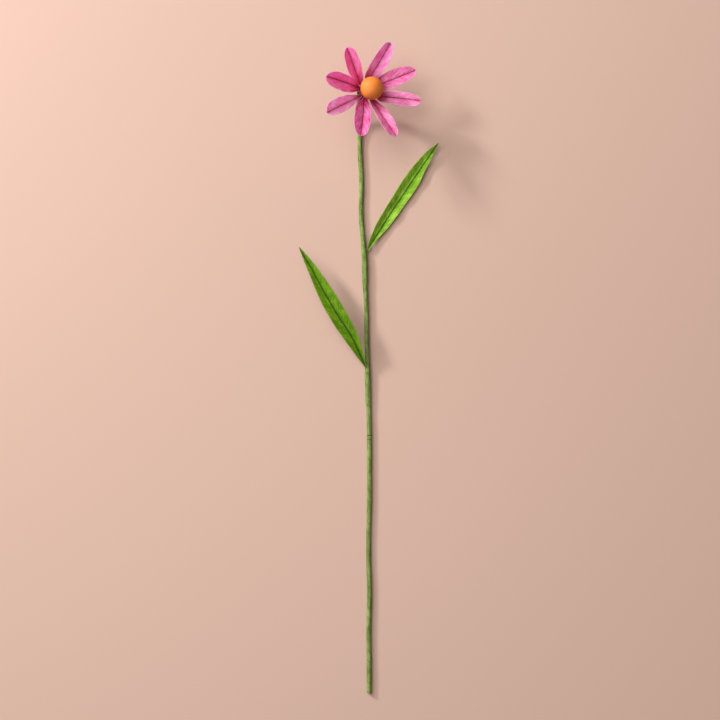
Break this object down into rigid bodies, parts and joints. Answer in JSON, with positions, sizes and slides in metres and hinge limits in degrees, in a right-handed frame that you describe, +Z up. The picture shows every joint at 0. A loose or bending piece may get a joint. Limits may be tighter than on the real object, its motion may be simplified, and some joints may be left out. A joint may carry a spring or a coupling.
{
  "type": "paper flower",
  "caption": "Long-stemmed flower of folded crepe paper: pink petals round an orange ball, on a taped wire stem with narrow folded leaves.",
  "frame": {"origin": "middle of the flower's outline seen from above, on the surface it lies on", "axes": "+Z up; +Y along the stem from the cut end towards the flower head; the head leans towards +X"},
  "size_m": [0.1112, 0.5138, 0.0606],
  "materials": {
    "steel_wire": "drawn steel wire",
    "stem_tape": "wound green crepe tape, matte",
    "neck_tape": "wound dark green crepe tape, matte",
    "leaf_paper": "folded green crepe paper, matte",
    "covered_wire": "paper-covered wire, matte",
    "painted_ball": "matte orange paint",
    "petal_paper": "folded pink crepe paper, matte"
  },
  "bodies": {
    "root": {"stem_wire": "steel_wire", "stem_wrap_lower": "stem_tape", "stem_wrap_upper": "stem_tape", "neck_tape": "neck_tape", "leaf_upper": "leaf_paper", "leaf_lower": "leaf_paper", "leaf_upper_wire": "covered_wire", "leaf_lower_wire": "covered_wire", "flower_centre": "painted_ball", "petal_1": "petal_paper", "petal_2": "petal_paper", "petal_3": "petal_paper", "petal_4": "petal_paper", "petal_5": "petal_paper", "petal_6": "petal_paper", "petal_7": "petal_paper", "petal_8": "petal_paper"}
  },
  "joints": []
}
